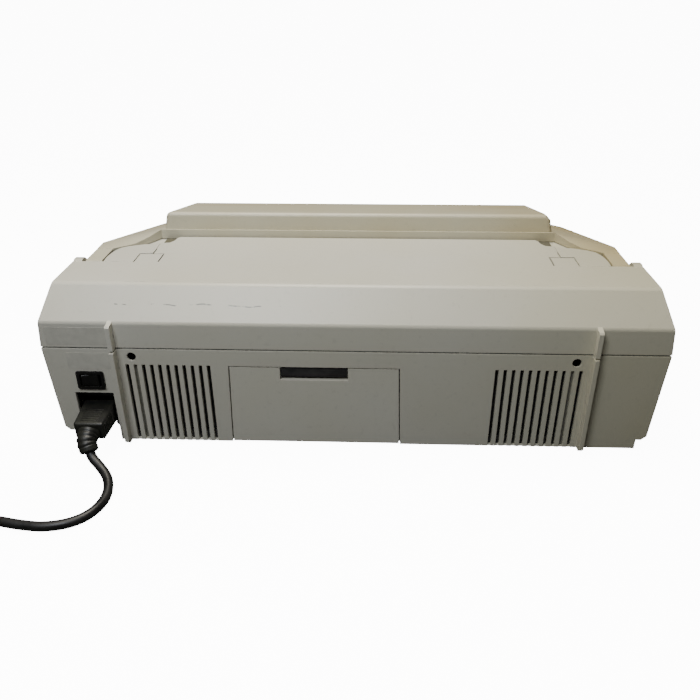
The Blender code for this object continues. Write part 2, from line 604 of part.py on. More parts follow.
def build_carriage():
    frame = block("carriage_frame", -192, 192, 112, 114, 87, 119, STEEL)
    for side in (-1, 1):
        x = side * 191
        flange = [(113, 92), (160, 92), (160, 112), (113, 118)]
        ear = side_prism(f"frame_ear_{side}", flange, x - 1, x + 1, STEEL)
        add(frame, ear)
        cut(frame, rod(f"cut_ear_{side}", x - 2, x + 2, ROD_R + GAP, ROD_DEPTH, ROD_H, STEEL, 20))
    cut(frame, turned("cut_frame_shaft", [(-1, 3), (4, 3)], (0, -1, 0), at(-PULLEY_X, 111, ROD_H), STEEL, 16))
    rod("guide_rod", -195, 195, ROD_R, ROD_DEPTH, ROD_H, STEEL, 24)
    low, high, front = 90.0, 120.0, 180.0
    half = CARRIAGE_W / 2
    body = [(128, low + 4), (128, high), (166, high), (front, high - 14), (front, low), (134, low)]
    carriage = side_prism("carriage", body, CARRIAGE_X - half, CARRIAGE_X + half, CHARCOAL)
    cut(carriage, rod("cut_carriage_bore", CARRIAGE_X - half - 1, CARRIAGE_X + half + 1, ROD_R + RUN, ROD_DEPTH,
                      ROD_H, CHARCOAL, 24))
    for side, label in ((-1, "black"), (1, "colour")):
        x = CARRIAGE_X + side * 14
        cut(carriage, block(f"cut_bay_{label}", x - 11.5, x + 11.5, 159, 177, low + 3, high + 1, CHARCOAL))
        cartridge = [(159.6, low + 4), (159.6, high + 4), (168, high + 4), (176.4, high - 9), (176.4, low + 4)]
        piece = side_prism(f"{label}_cartridge", cartridge, x - 11, x + 11, BLACK)
        pivot(piece, at(CARRIAGE_X, ROD_DEPTH, ROD_H))
    pivot(carriage, at(CARRIAGE_X, ROD_DEPTH, ROD_H))
    belt_r = PULLEY_R + 1.3
    steps = 10
    loops = []
    for radius in (belt_r, belt_r - 1.0):
        loop = []
        for end in (1, -1):
            for i in range(steps + 1):
                turn = math.pi / 2 - math.pi * i / steps
                loop.append((end * (PULLEY_X + radius * math.cos(turn)), ROD_H + end * radius * math.sin(turn)))
        loops.append(loop)
    belt = rear_prism("carriage_belt", loops[0], 118.5, 123.5, RUBBER)
    cut(belt, rear_prism("cut_belt", loops[1], 117, 125, RUBBER))
    for name, x in (("drive_pulley", -PULLEY_X), ("idler_pulley", PULLEY_X)):
        tail = 115.0 if name == "idler_pulley" else 111.6
        shaft = 1.6
        profile = [(tail, shaft), (117.2, shaft), (117.2, PULLEY_R - 2), (118.2, PULLEY_R - 2), (118.2, PULLEY_R),
                   (123.8, PULLEY_R), (123.8, PULLEY_R - 2), (125.2, PULLEY_R - 2)]
        pulley = turned(name, profile, (0, -1, 0), at(x, 0, ROD_H), GEAR, 24)
        pivot(pulley, at(x, 121, ROD_H))
    turned("carriage_motor", [(82, 16), (84, 17), (109, 17), (111.2, 15)], (0, -1, 0), at(-PULLEY_X, 0, ROD_H),
           STEEL, 24)
    station = block("service_station", CARRIAGE_X - half, CARRIAGE_X + half - 1.5, 128, 186, 52, 84, CHARCOAL)
    for side in (-1, 1):
        x = CARRIAGE_X + side * 14
        add(station, block(f"cap_{side}", x - 7, x + 7, 160, 176, 83.5, 88.4, CHARCOAL))
        cut(station, block(f"cut_cap_{side}", x - 5.5, x + 5.5, 161.5, 174.5, 86, 90, CHARCOAL))


def build_electronics():
    supply = block("power_supply", 152, 190, 36, 205, 6, 77, STEEL)
    for i in range(5):
        depth = 60 + 26 * i
        cut(supply, block(f"cut_supply_{i}", 189, 191, depth, depth + 14, 20, 62, STEEL))
    block("main_board", -214, -106, 40, 270, 8, 9.6, BOARD)


def build_trays():
    x0, x1 = PATH_X - SHEET_W / 2 - 7, PATH_X + SHEET_W / 2 + 7
    front = BODY_DEPTH + TRAY_OUT
    tray = block("input_tray", x0, x1, 84, front, FLOOR + RUN, 26, PUTTY)
    cut(tray, block("cut_tray_well", x0 + WALL, x1 - WALL, 84 + WALL, front - 14, FLOOR + RUN + 2.5, 27, PUTTY))
    cut(tray, block("cut_tray_grip", PATH_X - 30, PATH_X + 30, front - 9, front + 1, 3, 14, PUTTY))
    well = FLOOR + RUN + 2.5
    guide = side_prism("width_guide", [(215, well + GAP), (330, well + GAP), (330, 22), (215, 22)],
                       x0 + WALL + 3, x0 + WALL + 5, CHARCOAL)
    add(guide, block("guide_foot", x0 + WALL + 3.5, x0 + WALL + 30, 262, 284, well + GAP, well + 2.2, CHARCOAL))
    pivot(guide, at(x0 + WALL + 4, 272, well))
    out = block("output_tray", x0 + 6, x1 - 6, BODY_DEPTH + 4, BODY_DEPTH + 52, 36, 39.4, PUTTY)
    for side in (-1, 1):
        x = PATH_X + side * (SHEET_W / 2 - 3)
        add(out, block(f"tray_rim_{side}", x - 2, x + 2, BODY_DEPTH + 8, BODY_DEPTH + 52, 39, 43, PUTTY))
        add(out, block(f"tray_ear_{side}", x - 2, x + 2, BODY_DEPTH - 4, BODY_DEPTH + 8, 36, 39.4, PUTTY))
    pivot(out, at(PATH_X, BODY_DEPTH + 1, 37.7))


def build_control_panel():
    """A tilted plate on the front shelf, its keys travelling square to it."""
    fall = math.atan2(BELT_H - FRONT_BELT_H, BODY_DEPTH - SLOPE_FROM)
    middle = 287.0
    centre = at(-150, middle, belt_height(middle))
    normal = Vector((0, -math.sin(fall), math.cos(fall)))
    along = Vector((0, math.cos(fall), math.sin(fall)))

    def plate(name, x0, x1, y0, y1, z0, z1, look):
        corners = ((x0, y0), (x1, y0), (x1, y1), (x0, y1))
        rings = [[centre + (Vector((x, 0, 0)) + along * y + normal * z) * MM for x, y in corners] for z in (z0, z1)]
        return lofted(name, rings, look)

    panel = plate("control_panel", -48, 48, -9, 9, GAP, 2.6, CHARCOAL)
    for i in range(3):
        x = -32 + 20 * i
        cut(panel, plate(f"cut_key_{i}", x - 7, x + 7, -4.5, 4.5, 1.0, 4, CHARCOAL))
        key = plate(f"panel_key_{i + 1}", x - 6.5, x + 6.5, -4, 4, 2.0, 4.0, PUTTY)
        pivot(key, centre + (Vector((x, 0, 0)) + normal * 3) * MM)
    for i in range(2):
        x = 28 + 10 * i
        cut(panel, plate(f"cut_lens_{i}", x - 2.5, x + 2.5, -2.5, 2.5, 1.0, 4, CHARCOAL))
        plate(f"status_lens_{i + 1}", x - 2, x + 2, -2, 2, 1.4, 3.2, LENS)


# ---------------------------------------------------------------- mains lead

def smooth(points, per):
    """Even points along a smooth curve through hand-picked route points."""
    route = [Vector(p) for p in points]
    found = []
    for i in range(len(route) - 1):
        before = route[max(i - 1, 0)]
        after = route[min(i + 2, len(route) - 1)]
        a, b = route[i], route[i + 1]
        span = (b - a).length
        out = (b - before).normalized() * span / 3
        back = (after - a).normalized() * span / 3
        piece = interpolate_bezier(a, a + out, b - back, b, per + 1)
        found += piece[:-1]
    return found + [route[-1]]


def tube(name, points, radii, look, sides=12):
    """A tube of changing radius along points given as (x, depth, height)."""
    path = [at(*p) for p in points]
    rings = []
    for i, p in enumerate(path):
        way = (path[min(i + 1, len(path) - 1)] - path[max(i - 1, 0)]).normalized()
        side = way.cross(Vector((0, 0, 1))).normalized()
        up = side.cross(way)
        rings.append([p + (side * math.cos(2 * math.pi * k / sides) + up * math.sin(2 * math.pi * k / sides))
                      * radii[i] * MM for k in range(sides)])
    return lofted(name, rings, look)


COIL_X = 300.0
COIL_DEPTH = -141.2
PLUG_X = 333.0


def ring(name, profile, x, depth, look, sides=48):
    """Turns a closed profile of (radius, height over the floor) about an upright axis."""
    rings = [[at(x + r * math.cos(2 * math.pi * i / sides), depth + r * math.sin(2 * math.pi * i / sides), h - FOOT_H)
              for r, h in profile] for i in range(sides)]
    points = [p for row in rings for p in row]
    n = len(profile)
    faces = []
    for i in range(sides):
        j = (i + 1) % sides
        for k in range(n):
            m = (k + 1) % n
            faces.append([i * n + k, i * n + m, j * n + m, j * n + k])
    return solid(name, points, faces, look)


def cord_tube(name, path):
    """The lead as a bevelled curve along points given as (x, depth, height)."""
    curve = bpy.data.curves.new(name, "CURVE")
    curve.dimensions = "3D"
    curve.bevel_depth = CORD_D / 2 * MM
    curve.bevel_resolution = 2
    curve.use_fill_caps = True
    line = curve.splines.new("POLY")
    line.points.add(len(path) - 1)
    for spot, p in zip(line.points, path):
        spot.co = (*at(*p), 1)
    curve.materials.append(material(*RUBBER))
    bpy.context.scene.collection.objects.link(bpy.data.objects.new(name, curve))


def build_lead():
    floor = CORD_D / 2 - FOOT_H + 0.05
    tip = -26.5
    section = [(-12.3, 18.0), (-9.0, 15.0), (9.0, 15.0), (12.3, 18.0), (12.3, 31.6), (10.8, 32.8),
               (-10.8, 32.8), (-12.3, 31.6)]
    rings = []
    stations = ((SOCKET_IN - GAP, 1.0, 1.0, 0.0), (-3.0, 1.0, 1.0, -0.6), (tip, 0.92, 0.80, -2.2))
    for depth, wide, tall, shift in stations:
        rings.append([at(198.0 + shift + x * wide, depth, 32.8 - (32.8 - h) * tall) for x, h in section])
    lofted("cord_connector", rings, BLACK)
    start = (195.4, tip - 2.4, 25.8)
    relief = smooth([start, (195.4, -34.0, 22.0), (192.6, -38.6, 15.6)], 6)
    thick, thin = 8.2, 6.6
    radii = [thick + (thin - thick) * i / (len(relief) - 1) for i in range(len(relief))]
    elbow = tube("strain_relief", relief, radii, RUBBER, 14)
    cut(elbow, block("cut_relief_face", 180, 212, tip - GAP, tip + 12, 5, 45, RUBBER))
    joint = COIL_DEPTH + (COIL_MEAN_D + (COIL_COLUMNS - 1) * CORD_D) / 2
    route = [(191.6, -39.7, 14.2), (189.0, -42.2, 11.8), (183.6, -46.2, 8.6), (177.0, -53.0, 5.2),
             (172.9, -62.4, 2.9), (172.0, -73.0, floor), (174.6, -84.5, floor), (180.6, -93.2, floor),
             (190.6, -99.4, floor), (204.0, -102.3, floor), (214.0, -101.8, floor), (224.3, -100.4, floor),
             (235.4, -98.2, floor), (247.0, joint - 0.6, floor), (258.0, joint, floor), (272.0, joint, floor)]
    cord_tube("power_cord", smooth(route, 3))
    wide = CORD_D * COIL_COLUMNS / 2
    low, high = 0.05, CORD_D * COIL_LAYERS
    inner, outer = COIL_MEAN_D / 2 - wide, COIL_MEAN_D / 2 + wide
    corner = 2.0
    profile = [(outer, low + corner), (outer, high - corner), (outer - corner, high), (inner + corner, high),
               (inner, high - corner), (inner, low + corner), (inner + corner, low), (outer - corner, low)]
    ring("power_cord_coil", profile, COIL_X, COIL_DEPTH, RUBBER)
    shape = [(-13, 0), (13, 0), (13, 12), (9, 17), (-9, 17), (-13, 12)]
    plug_rings = []
    for depth, scale in ((-61, 0.5), (-55, 0.8), (-43, 1.0), (-30, 1.0), (-29, 0.92)):
        plug_rings.append([at(PLUG_X + x * scale, depth, 0.05 - FOOT_H + h * scale) for x, h in shape])
    plug = lofted("wall_plug", plug_rings, BLACK)
    high_run = floor + CORD_D
    tail = smooth([(COIL_X + 22.6, joint - 0.4, high_run - 1.4), (COIL_X + 27.0, joint + 4.0, high_run - 2.0),
                   (PLUG_X - 1.6, joint + 16.0, floor + 2.2), (PLUG_X, joint + 28.0, floor + 1.0),
                   (PLUG_X, -59.0, floor + 1.0)], 4)
    add(plug, tube("plug_tail", tail, [CORD_D / 2] * len(tail), RUBBER))


build_bottom_case()
build_top_case()
build_access_cover()
build_hinge_covers()
build_rear_door()
build_rear_hardware()
build_paper_path()
build_carriage()
build_electronics()
build_trays()
build_control_panel()
build_lead()
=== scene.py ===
"""Looks of the desktop inkjet printer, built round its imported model.

Metres, +Z up, the rear towards +Y. Sizes below are in millimetres: "depth" counts forward
from the rear face, and heights start at the underside of the case.
"""
import json
import math

import bpy
from mathutils import Matrix, Vector
from mathutils.geometry import interpolate_bezier

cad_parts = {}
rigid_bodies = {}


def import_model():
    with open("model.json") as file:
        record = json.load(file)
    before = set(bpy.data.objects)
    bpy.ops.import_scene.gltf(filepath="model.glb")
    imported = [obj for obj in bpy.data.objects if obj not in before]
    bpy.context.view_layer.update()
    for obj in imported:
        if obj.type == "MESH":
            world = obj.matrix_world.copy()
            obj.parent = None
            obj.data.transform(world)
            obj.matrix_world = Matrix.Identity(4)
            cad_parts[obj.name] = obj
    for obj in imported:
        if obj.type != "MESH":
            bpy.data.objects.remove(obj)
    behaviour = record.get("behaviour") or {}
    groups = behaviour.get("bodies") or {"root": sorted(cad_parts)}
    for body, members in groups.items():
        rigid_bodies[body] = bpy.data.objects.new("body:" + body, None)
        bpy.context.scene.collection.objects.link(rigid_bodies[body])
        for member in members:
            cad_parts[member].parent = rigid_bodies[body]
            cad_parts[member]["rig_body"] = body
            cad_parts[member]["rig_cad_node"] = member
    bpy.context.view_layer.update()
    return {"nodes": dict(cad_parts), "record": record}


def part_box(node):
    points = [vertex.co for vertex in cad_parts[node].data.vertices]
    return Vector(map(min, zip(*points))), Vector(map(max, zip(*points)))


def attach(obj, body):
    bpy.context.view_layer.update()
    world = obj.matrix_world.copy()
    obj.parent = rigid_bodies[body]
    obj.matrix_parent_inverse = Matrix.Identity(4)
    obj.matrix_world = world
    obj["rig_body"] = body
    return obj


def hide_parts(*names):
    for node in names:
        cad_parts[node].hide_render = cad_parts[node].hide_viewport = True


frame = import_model()
record = frame["record"]

MM = 0.001
FOOT = 2.0                                   # height of the rubber feet
RIB_OUT = 7.5                                # the rear ribs stand this far out of the rear face
case_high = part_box("bottom_case")[1]
REAR = case_high.y / MM - RIB_OUT
HALF = case_high.x / MM
PART_H = 81.8                                # parting line at the rear
FRONT_PART_H = 58.0                          # parting line at the front
PART_FROM = 190.0                            # depth where the parting line starts to fall
BODY_DEPTH = 300.0
BELT_H = 103.3                               # top of the vertical belt
DECK_H = 127.0                               # level top of the rear deck
HOOD_LEAN = 19.5                             # depth of the deck's rear edge
SLOTS = 11                                   # ventilation slots on each side
SLOT_FIRST = 107.4                           # middle of the slot nearest to the door
SLOT_LAST = 168.8                            # middle of the outermost slot
SLOT_TOP = 68.7

CORD_D = 7.2                                 # the mains lead
FLOOR_LINE = CORD_D / 2 - FOOT + 0.05        # height of the lead's middle where it lies on the floor
COIL_X = 300.0                               # middle of the coil
COIL_DEPTH = -141.2
COIL_R = 38.0                                # middle of the three columns of turns
PLUG_X = 333.0
TIP = -26.5                                  # outer end of the mains connector
RELIEF_END = (191.6, -39.7, 14.2)
RELIEF_R = 8.2                               # the strain relief at the connector
RELIEF_TAPER = 1.6                           # and how much thinner it is at its end

SCUFF_Z = 0.1165                             # the scuff's height, middle and half length, in metres
SCUFF_X = 0.112
SCUFF_HALF = 0.062
NEAR = 0.0004                                # edges this close to a line count as on it, in metres
SMOOTH = math.radians(40)                    # edges flatter than this are shaded smooth
FLOOR_GLOW = 12.0                            # how bright the floor and the world look to the camera
CAMERA_PLACE = (-0.0160, 0.63065, 0.3332)
CAMERA_TURNS = ((182.19, "Z"), (61.33, "X"), (-0.24, "Z"))

slot_of = {entry["node"]: entry["material_slot"] for entry in record["subparts"]}
body_of = {node: body for body, nodes in record["behaviour"]["bodies"].items() for node in nodes}


def at(x, depth, height):
    """World point in metres."""
    return Vector((x, REAR - depth, height + FOOT)) * MM


# ---------------------------------------------------------------- materials

def linear(code):
    """sRGB hex code as linear colour."""
    values = [int(code[i:i + 2], 16) / 255 for i in (0, 2, 4)]
    return [v / 12.92 if v <= 0.04045 else ((v + 0.055) / 1.055) ** 2.4 for v in values] + [1.0]


def add_node(tree, kind, settings=None, links=None):
    """Adds a node, sets its properties and inputs, and links its inputs to other nodes' outputs."""
    node = tree.nodes.new(kind)
    for key, value in (settings or {}).items():
        if isinstance(key, int) or key in node.inputs:
            node.inputs[key].default_value = value
        else:
            setattr(node, key, value)
    for key, source in (links or {}).items():
        tree.links.new(source, node.inputs[key])
    return node


def new_finish(name, roughness, metallic=0.0, ior=1.5):
    """An empty material with its shader and the piece's own coordinates."""
    finish = bpy.data.materials.new(name)
    finish.use_nodes = True
    tree = finish.node_tree
    shader = tree.nodes["Principled BSDF"]
    shader.inputs["Roughness"].default_value = roughness
    shader.inputs["Metallic"].default_value = metallic
    if not metallic:
        shader.inputs["IOR"].default_value = ior
    place = add_node(tree, "ShaderNodeTexCoord").outputs["Object"]
    return finish, tree, shader, place


def per_metre(size_mm):
    """Noise scale that gives blotches of about this size."""
    return 1.0 / (size_mm * MM)


def ramp(tree, factor, stops):
    """Colours, or greys, along a factor from 0 to 1."""
    node = add_node(tree, "ShaderNodeValToRGB", links={"Fac": factor})
    band = node.color_ramp
    while len(band.elements) < len(stops):
        band.elements.new(0.5)
    for element, (spot, colour) in zip(band.elements, stops):
        element.position = spot
        element.color = colour if isinstance(colour, list) else [colour, colour, colour, 1.0]
    return node.outputs["Color"]


def grain(tree, shader, place, size_mm, strength, depth_mm):
    """Moulded-in texture as bump."""
    noise = add_node(tree, "ShaderNodeTexNoise",
                     {"Scale": per_metre(size_mm), "Detail": 2.0, "Roughness": 0.6}, {"Vector": place})
    bump = add_node(tree, "ShaderNodeBump", {"Strength": strength, "Distance": depth_mm * MM},
                    {"Height": noise.outputs["Fac"]})
    tree.links.new(bump.outputs["Normal"], shader.inputs["Normal"])
    return noise.outputs["Fac"]


def scuffed(tree, place, colour):
    """A broken grey scuff, up to 1 mm high and 124 mm long, along the rear slope on the +X side."""
    spot = add_node(tree, "ShaderNodeSeparateXYZ", links={"Vector": place})
    wander = add_node(tree, "ShaderNodeTexNoise", {"Scale": per_metre(22), "Detail": 2.0},
                      {"Vector": place})
    rise = add_node(tree, "ShaderNodeMath", {"operation": "MULTIPLY_ADD", 1: 0.004, 2: SCUFF_Z - 0.002},
                    {0: wander.outputs["Fac"]})
    gap = add_node(tree, "ShaderNodeMath", {"operation": "SUBTRACT"},
                   {0: spot.outputs["Z"], 1: rise.outputs["Value"]})
    size = add_node(tree, "ShaderNodeMath", {"operation": "ABSOLUTE"}, {0: gap.outputs["Value"]})
    line = add_node(tree, "ShaderNodeMapRange",
                    {"From Min": 0.0001, "From Max": 0.0005, "To Min": 1.0, "To Max": 0.0},
                    {"Value": size.outputs["Value"]})
    breaks = add_node(tree, "ShaderNodeTexNoise", {"Scale": per_metre(7), "Detail": 3.0}, {"Vector": place})
    dashes = add_node(tree, "ShaderNodeMapRange", {"From Min": 0.46, "From Max": 0.56},
                      {"Value": breaks.outputs["Fac"]})
    along = add_node(tree, "ShaderNodeMath", {"operation": "COMPARE", 1: SCUFF_X, 2: SCUFF_HALF},
                     {0: spot.outputs["X"]})
    rear = add_node(tree, "ShaderNodeMath", {"operation": "GREATER_THAN", 1: (REAR - 18) * MM},
                    {0: spot.outputs["Y"]})
    mask = line.outputs["Result"]
    for other in (dashes.outputs["Result"], along.outputs["Value"], rear.outputs["Value"]):
        product = add_node(tree, "ShaderNodeMath", {"operation": "MULTIPLY"}, {0: mask, 1: other})
        mask = product.outputs["Value"]
    mark = add_node(tree, "ShaderNodeMix", {"data_type": "RGBA", 7: linear("77776E")})
    tree.links.new(mask, mark.inputs[0])
    tree.links.new(colour, mark.inputs[6])
    return mark.outputs[2]


def aged_abs(name, fresh, aged, right_share, base_share, roughness=0.38):
    """Moulded ABS that has yellowed unevenly in soft clouds; it is also yellower and darker towards the -X
    side.
    """
    finish, tree, shader, place = new_finish(name, roughness, ior=1.53)
    clouds = add_node(tree, "ShaderNodeTexNoise",
                      {"Scale": per_metre(130), "Detail": 3.0, "Roughness": 0.55}, {"Vector": place})
    spot = add_node(tree, "ShaderNodeSeparateXYZ", links={"Vector": place})
    side = add_node(tree, "ShaderNodeMapRange",
                    {"From Min": -HALF * MM * 0.25, "From Max": -HALF * MM, "To Min": 0.0,
                     "To Max": right_share}, {"Value": spot.outputs["X"]})
    cloud = add_node(tree, "ShaderNodeMapRange", {"From Min": 0.35, "From Max": 0.7, "To Min": 0.0,
                                                  "To Max": base_share}, {"Value": clouds.outputs["Fac"]})
    share = add_node(tree, "ShaderNodeMath", {"operation": "ADD", "use_clamp": True})
    tree.links.new(side.outputs["Result"], share.inputs[0])
    tree.links.new(cloud.outputs["Result"], share.inputs[1])
    colour = ramp(tree, share.outputs["Value"], [(0.0, linear(fresh)), (1.0, linear(aged))])
    # Handling dirt: faint darker specks, about 5 mm apart.
    specks = add_node(tree, "ShaderNodeTexNoise", {"Scale": per_metre(5), "Detail": 4.0, "Roughness": 0.7},
                      {"Vector": place})
    dirt = ramp(tree, specks.outputs["Fac"], [(0.30, 0.90), (0.42, 1.0)])
    worn = add_node(tree, "ShaderNodeMix", {"data_type": "RGBA", "blend_type": "MULTIPLY", 0: 0.6})
    tree.links.new(colour, worn.inputs[6])
    tree.links.new(dirt, worn.inputs[7])
    tree.links.new(scuffed(tree, place, worn.outputs[2]), shader.inputs["Base Color"])
    # Spark-eroded mould texture is 0.1 mm; it is drawn at 0.9 mm so that it shows.
    fine = grain(tree, shader, place, 0.9, 0.22, 0.12)
    rough = ramp(tree, fine, [(0.3, roughness - 0.06), (0.7, roughness + 0.07)])
    tree.links.new(rough, shader.inputs["Roughness"])
    return finish


def dark_plastic(name, code, worn, roughness, size_mm=0.8, ior=1.5):
    """Black moulded plastic, greyed a little by dust and handling."""
    finish, tree, shader, place = new_finish(name, roughness, ior=ior)
    dust = add_node(tree, "ShaderNodeTexNoise", {"Scale": per_metre(14), "Detail": 5.0, "Roughness": 0.65},
                    {"Vector": place})
    colour = ramp(tree, dust.outputs["Fac"], [(0.40, linear(code)), (0.72, linear(worn))])
    tree.links.new(colour, shader.inputs["Base Color"])
    grain(tree, shader, place, size_mm, 0.2, 0.08)
    rough = ramp(tree, dust.outputs["Fac"], [(0.4, roughness), (0.75, min(1.0, roughness + 0.2))])
    tree.links.new(rough, shader.inputs["Roughness"])
    return finish


def plated_steel():
    """Zinc-plated sheet: a soft grey metal with faint crystal patches about 6 mm wide."""
    finish, tree, shader, place = new_finish("zinc_plated_steel", 0.32, metallic=1.0)
    spangle = add_node(tree, "ShaderNodeTexVoronoi", {"Scale": per_metre(6)}, {"Vector": place})
    colour = ramp(tree, spangle.outputs["Color"], [(0.2, linear("A3A6A6")), (0.8, linear("B9BCBB"))])
    tree.links.new(colour, shader.inputs["Base Color"])
    rough = ramp(tree, spangle.outputs["Color"], [(0.2, 0.27), (0.8, 0.40)])
    tree.links.new(rough, shader.inputs["Roughness"])
    return finish


def ground_rod():
    """Ground carbon steel with a thin film of oil, its grinding marks running round the rod."""
    finish, tree, shader, place = new_finish("ground_steel", 0.18, metallic=1.0)
    shader.inputs["Base Color"].default_value = linear("C2C3C4")
    marks = add_node(tree, "ShaderNodeTexNoise", {"Scale": per_metre(0.7), "Detail": 1.0},
                     {"Vector": add_node(tree, "ShaderNodeMapping", {"Scale": (1.0, 0.05, 0.05)},
                                         {"Vector": place}).outputs["Vector"]})
    rough = ramp(tree, marks.outputs["Fac"], [(0.3, 0.13), (0.7, 0.26)])
    tree.links.new(rough, shader.inputs["Roughness"])
    return finish


def acetal():
    """White acetal gears, waxy and slightly creamy."""
    finish, tree, shader, place = new_finish("white_acetal", 0.34, ior=1.48)
    tone = add_node(tree, "ShaderNodeTexNoise", {"Scale": per_metre(9), "Detail": 2.0}, {"Vector": place})
    colour = ramp(tree, tone.outputs["Fac"], [(0.3, linear("DDDACC")), (0.7, linear("EBE8DE"))])
    tree.links.new(colour, shader.inputs["Base Color"])
    shader.inputs["Subsurface Weight"].default_value = 0.08
    grain(tree, shader, place, 1.2, 0.1, 0.05)
    return finish


def circuit_board():
    """Green solder mask with lighter tracks under it, 1.25 mm apart one way and 2.5 mm the other."""
    finish, tree, shader, place = new_finish("solder_mask", 0.35, ior=1.55)
    tracks = add_node(tree, "ShaderNodeTexBrick", {"Scale": per_metre(5), "Mortar Size": 0.06, "Bias": 0.0,
                                                   "Color1": linear("1F5A36"), "Color2": linear("1B4F30"),
                                                   "Mortar": linear("3A7A4C")}, {"Vector": place})
    tree.links.new(tracks.outputs["Color"], shader.inputs["Base Color"])
    grain(tree, shader, place, 2.0, 0.15, 0.05)
    return finish


def plain(name, code, roughness, metallic=0.0, size_mm=1.0, ior=1.5):
    """A small part's finish: one colour broken by fine tone and grain."""
    finish, tree, shader, place = new_finish(name, roughness, metallic, ior)
    tone = add_node(tree, "ShaderNodeTexNoise", {"Scale": per_metre(size_mm * 6), "Detail": 3.0},
                    {"Vector": place})
    base = linear(code)
    low = [c * 0.88 for c in base[:3]] + [1.0]
    colour = ramp(tree, tone.outputs["Fac"], [(0.3, low), (0.7, base)])
    tree.links.new(colour, shader.inputs["Base Color"])
    grain(tree, shader, place, size_mm, 0.12, 0.05)
    return finish


CASE_ABS = aged_abs("rear_case_abs", "C9C7BA", "BBB594", 0.55, 0.25)
LOWER_ABS = aged_abs("lower_case_abs", "C5C3B6", "B5AF8E", 0.6, 0.25)
COVER_ABS = aged_abs("yellowed_cover_abs", "C3BFAA", "B9AC82", 0.8, 0.45)
DARK_ABS = dark_plastic("charcoal_abs", "262625", "3A3A37", 0.5)
BLACK_PBT = dark_plastic("black_pbt", "0C0C0C", "181817", 0.36)
PLUG_PVC = dark_plastic("plug_pvc", "121211", "26271F", 0.42, 1.2)
CORD_PVC = dark_plastic("cord_pvc", "0D0D0D", "1C1C1B", 0.40, 1.5)
RUBBER = dark_plastic("black_rubber", "171716", "2A2A28", 0.78)
ROCKER = dark_plastic("rocker_pc", "080808", "121212", 0.25)
STEEL = plated_steel()
ROD = ground_rod()
ACETAL = acetal()
MASK = circuit_board()
LENS = plain("green_lens", "4F9A4A", 0.12, ior=1.59)
KEY_ABS = plain("key_abs", "A9A898", 0.45)
BRASS = plain("nickel_brass_pins", "C9C2A8", 0.25, metallic=1.0)
BLACK_STEEL = plain("black_oxide_steel", "1C1C1D", 0.4, metallic=1.0)
TAPE = plain("cable_tie_nylon", "20201F", 0.4)
# Painted shade: this dark olive stands for the shadow on the floor of the deck's recess.
RECESS_SHADE = plain("recess_painted_shade", "5E5B4A", 0.9)
FILM = plain("label_film", "C4C2B5", 0.42)
# Painted shade: the screw bosses behind the slots are putty ABS, drawn in a darker grey.
SHADED_BOSS_ABS = plain("boss_abs_painted_shade", "77766C", 0.6)


# ---------------------------------------------------------------- modelling

def only(piece):
    """Deselects everything and makes one piece active."""
    bpy.ops.object.select_all(action="DESELECT")
    piece.select_set(True)
    bpy.context.view_layer.objects.active = piece


def keep(piece, look, body, slot, *nodes):
    """Gives a finished piece its material and body, and hides the nodes that it stands for; the slot
    argument is not used.
    """
    piece.data.materials.clear()
    piece.data.materials.append(look)
    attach(piece, body)
    if nodes:
        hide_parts(*nodes)
    return piece


def apply_modifier(piece, kind, **settings):
    """Adds a modifier with these settings and applies it."""
    only(piece)
    modifier = piece.modifiers.new(kind.lower(), kind)
    for key, value in settings.items():
        setattr(modifier, key, value)
    bpy.ops.object.modifier_apply(modifier=modifier.name)


def soften(piece, width, segments=2, angle=30):
    """Rounds a piece's edges and shades it smooth."""
    apply_modifier(piece, "BEVEL", width=width * MM, segments=segments, limit_method="ANGLE",
                   angle_limit=math.radians(angle), harden_normals=False, use_clamp_overlap=True)
    only(piece)
    bpy.ops.object.shade_smooth_by_angle(angle=SMOOTH)


def unselected(piece):
    """Makes a piece active with nothing selected in its mesh, and returns the mesh."""
    only(piece)
    mesh = piece.data
    for group in (mesh.vertices, mesh.edges, mesh.polygons):
        for element in group:
            element.select = False
    return mesh


def pick(piece, test):
    """Selects the faces whose centre and normal pass a test, and opens edit mode on them."""
    for face in unselected(piece).polygons:
        face.select = bool(test(face.center, face.normal))
    bpy.ops.object.mode_set(mode="EDIT")
    bpy.ops.mesh.select_mode(type="FACE")


def done():
    """Closes edit mode."""
    bpy.ops.object.mode_set(mode="OBJECT")


def block(name, x0, x1, d0, d1, h0, h1):
    """A box between two depths and heights, its place in its mesh."""
    bpy.ops.object.select_all(action="DESELECT")
    low, high = at(x0, d1, h0), at(x1, d0, h1)
    size = high - low
    bpy.ops.mesh.primitive_cube_add(size=1, location=(low + high) / 2, scale=size)
    piece = bpy.context.object
    piece.name = piece.data.name = name
    bpy.ops.object.transform_apply(location=True, rotation=True, scale=True)
    return piece


def rod(name, start, end, radius, sides=24):
    """A cylinder between two world points."""
    bpy.ops.object.select_all(action="DESELECT")
    way = end - start
    bpy.ops.mesh.primitive_cylinder_add(vertices=sides, radius=radius * MM, depth=way.length,
                                        location=(start + end) / 2,
                                        rotation=way.to_track_quat("Z", "Y").to_euler())
    piece = bpy.context.object
    piece.name = piece.data.name = name
    bpy.ops.object.transform_apply(location=True, rotation=True, scale=True)
    return piece


def joined(name, pieces):
    """Joins pieces that are one part into one mesh."""
    bpy.ops.object.select_all(action="DESELECT")
    for piece in pieces:
        piece.select_set(True)
    bpy.context.view_layer.objects.active = pieces[0]
    bpy.ops.object.join()
    piece = bpy.context.object
    piece.name = piece.data.name = name
    return piece


